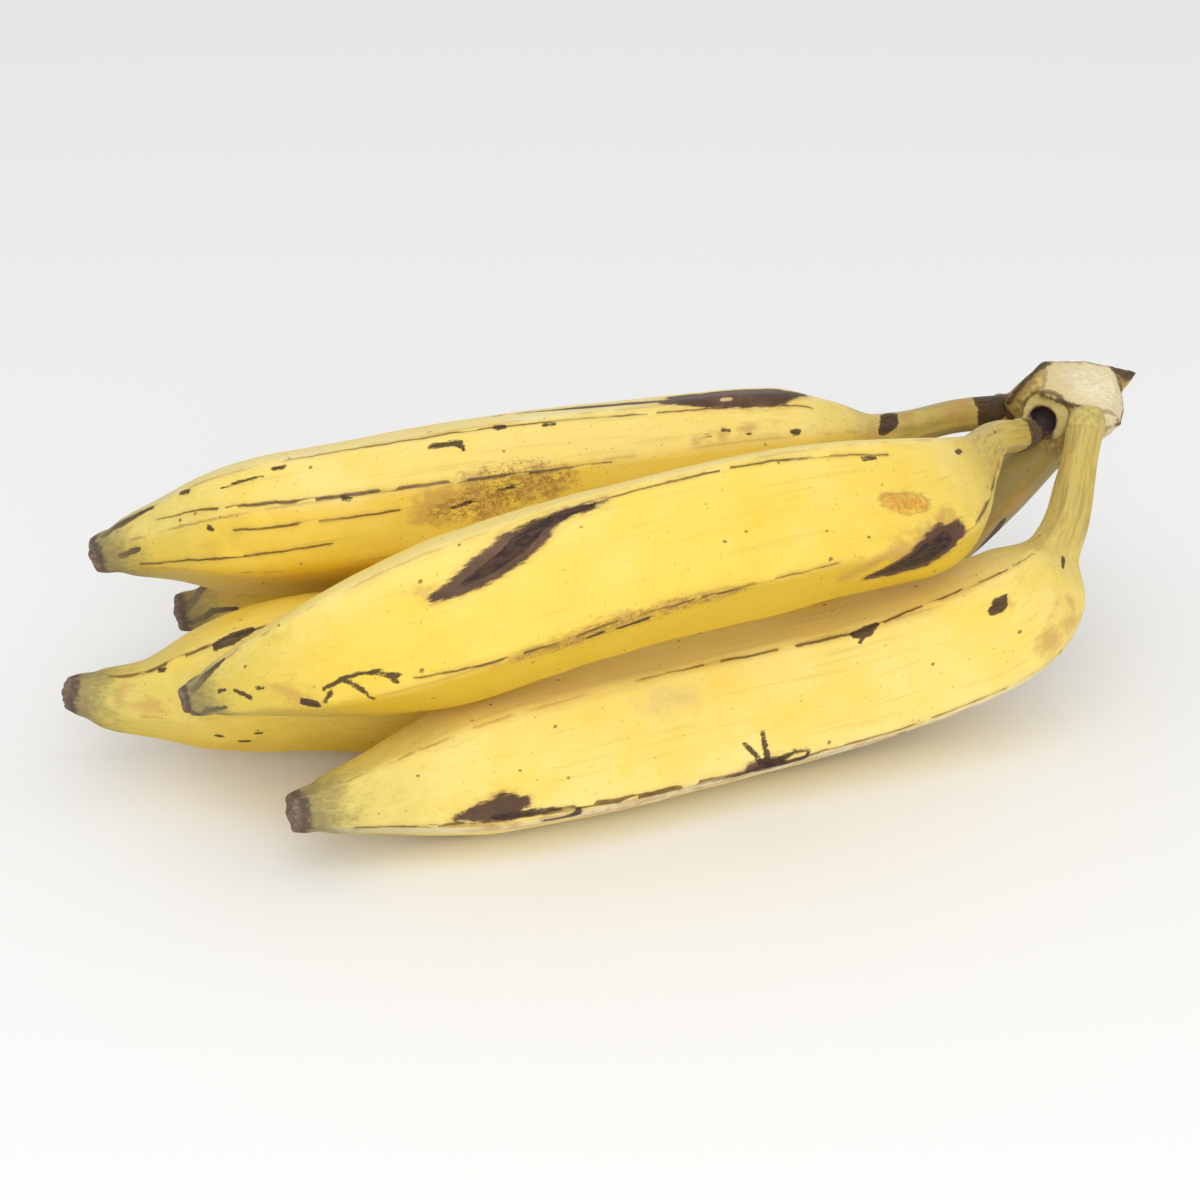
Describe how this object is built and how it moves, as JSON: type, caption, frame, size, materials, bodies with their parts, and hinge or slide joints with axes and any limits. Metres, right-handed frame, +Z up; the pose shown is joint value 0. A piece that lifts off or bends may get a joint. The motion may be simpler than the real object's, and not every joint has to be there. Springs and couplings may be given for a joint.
{
  "type": "plantain hand",
  "caption": "Hand of ripe yellow plantains joined at a cut crown, lying on a flat surface; food prop for kitchens, stalls and cooking scenes.",
  "frame": {"origin": "on the surface that the hand lies on, under the middle of its outline seen from above", "axes": "+Z up; +X along the fruits, from their tips to the crown; +Y away from the front fruit, towards the back ones"},
  "size_m": [0.3324, 0.1604, 0.1054],
  "materials": {
    "peel": "satin",
    "crown": "matte"
  },
  "bodies": {
    "root": {"crown": "crown", "finger_front": "peel", "finger_middle": "peel", "finger_back": "peel", "finger_lower": "peel", "finger_hidden": "peel"}
  },
  "joints": []
}
